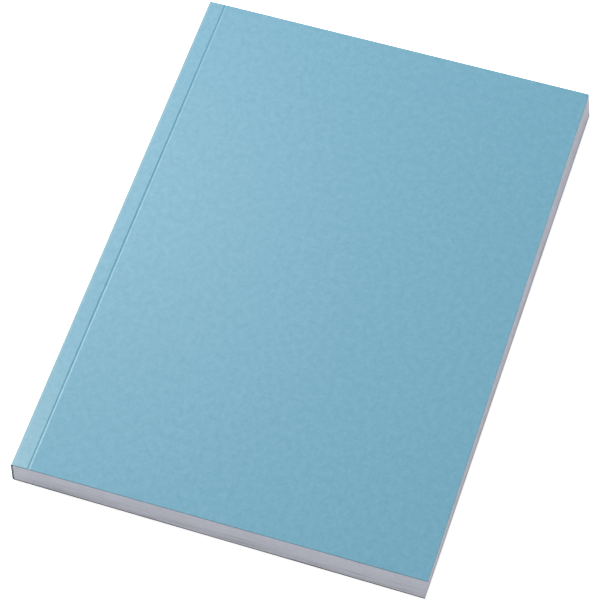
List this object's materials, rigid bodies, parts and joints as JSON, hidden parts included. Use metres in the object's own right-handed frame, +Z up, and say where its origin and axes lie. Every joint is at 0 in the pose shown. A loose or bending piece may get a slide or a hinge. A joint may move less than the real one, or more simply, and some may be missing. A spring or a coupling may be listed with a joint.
{
  "type": "softcover notebook",
  "caption": "Closed softcover notebook: a folded card cover, scored beside the spine, glued round a flush-trimmed page block; both covers open.",
  "frame": {"origin": "centre of the back cover's underside, on the surface that the closed notebook rests on", "axes": "+X from the spine to the fore-edge, +Y from the foot to the head of the pages, +Z up through the front cover"},
  "size_m": [0.1498, 0.2113, 0.0106],
  "materials": {
    "page_paper": "uncoated white paper, matt",
    "hot_melt_glue": "white hot-melt glue, satin",
    "cover_card": "light blue dyed card, matt with a soft sheen, faintly mottled"
  },
  "bodies": {
    "block": {"page_block": "page_paper", "spine_glue": "hot_melt_glue", "spine_wrap": "cover_card"},
    "front_cover": {"front_cover": "cover_card"},
    "back_cover": {"back_cover": "cover_card"}
  },
  "joints": [
    {"name": "front_cover_hinge", "type": "hinge", "parent": "block", "child": "front_cover", "pos_m": [-0.06811, 0.00005, 0.01065], "axis": [0.0087, -1, 0], "range_deg": [0, 180]},
    {"name": "back_cover_hinge", "type": "hinge", "parent": "block", "child": "back_cover", "pos_m": [-0.0676, 0, 0], "axis": [0, 1, 0], "range_deg": [0, 180]}
  ]
}
